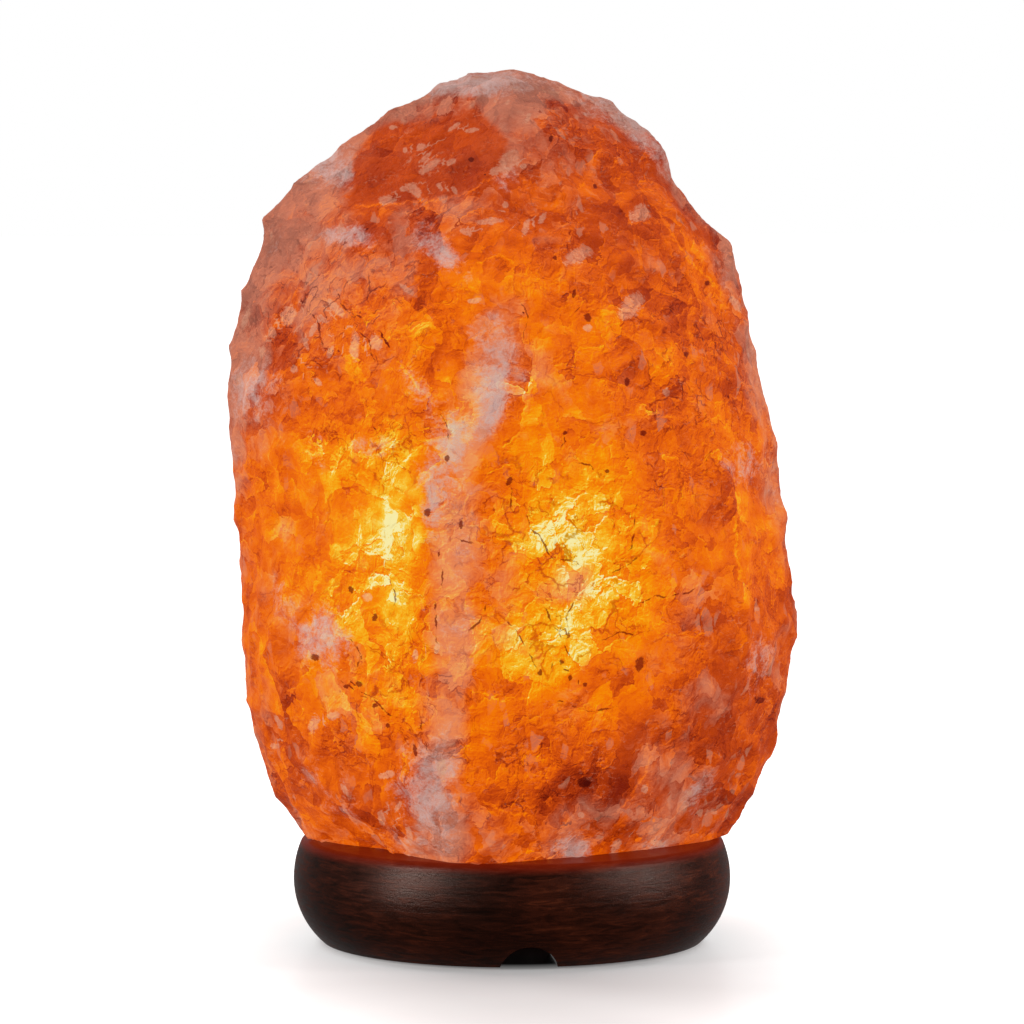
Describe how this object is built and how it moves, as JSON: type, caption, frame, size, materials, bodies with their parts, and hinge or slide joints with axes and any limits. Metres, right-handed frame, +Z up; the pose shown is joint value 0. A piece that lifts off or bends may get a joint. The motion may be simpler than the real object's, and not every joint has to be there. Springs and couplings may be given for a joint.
{
  "type": "salt crystal lamp",
  "caption": "Hewn rock salt block on a turned wooden base, lit from within by a small screw-in bulb in a sprung holder.",
  "frame": {"origin": "on the ground under the centre of the wooden base", "axes": "+Z up along the bore, -Y to the cable notch and the crystal's front ridge, +X to the right seen from the front"},
  "size_m": [0.1368, 0.1227, 0.21],
  "materials": {
    "rock_salt": "satin",
    "dark_wood": "satin",
    "steel": "satin",
    "spring_steel": "satin",
    "foot_rubber": "matte",
    "holder_plastic": "satin",
    "carrier_ceramic": "matte",
    "brass": "satin",
    "bulb_glass": "polished",
    "bulb_cap": "satin",
    "solder": "satin",
    "cap_glass": "gloss",
    "cement": "matte",
    "tungsten": "matte"
  },
  "bodies": {
    "lamp": {"salt_crystal": "rock_salt", "wooden_base": "dark_wood", "base_screws": "steel", "foot_pads": "foot_rubber"},
    "lamp_holder": {"holder_cap": "holder_plastic", "holder_skirt": "holder_plastic", "contact_carrier": "carrier_ceramic", "screw_shell": "brass", "centre_contact": "brass", "terminal_blocks": "brass", "terminal_screws": "steel", "clip_band": "spring_steel"},
    "clip_right": {"clip_arm_right": "spring_steel"},
    "clip_left": {"clip_arm_left": "spring_steel"},
    "bulb_tip": {"bulb_tip_contact": "solder"},
    "bulb": {"bulb_glass": "bulb_glass", "bulb_cap": "bulb_cap", "cap_insulator": "cap_glass", "cap_cement": "cement", "glass_stem": "bulb_glass", "lead_wires": "steel", "filament": "tungsten"}
  },
  "joints": [
    {"name": "holder_slide", "type": "slide", "parent": "lamp", "child": "lamp_holder", "axis": [0, 0, -1], "range_m": [0, 0.105]},
    {"name": "clip_right_flex", "type": "hinge", "parent": "lamp_holder", "child": "clip_right", "pos_m": [0.01615, 0, 0.03745], "axis": [0, 1, 0], "range_deg": [0, 8], "stiffness_Nm_per_rad": 0.05, "springref_deg": -9.74},
    {"name": "clip_left_flex", "type": "hinge", "parent": "lamp_holder", "child": "clip_left", "pos_m": [-0.01615, 0, 0.03745], "axis": [0, -1, 0], "range_deg": [0, 8], "stiffness_Nm_per_rad": 0.05, "springref_deg": -9.74},
    {"name": "bulb_rise", "type": "slide", "parent": "lamp_holder", "child": "bulb_tip", "axis": [0, 0, 1], "range_m": [0, 0.0142]},
    {"name": "bulb_turn", "type": "hinge", "parent": "bulb_tip", "child": "bulb", "pos_m": [0, 0, 0.05], "axis": [0, 0, 1], "range_deg": [0, 1800]}
  ],
  "couplings": [
    {"joint": "bulb_rise", "follows": "bulb_turn", "m_per_rad": 0.00044914}
  ]
}
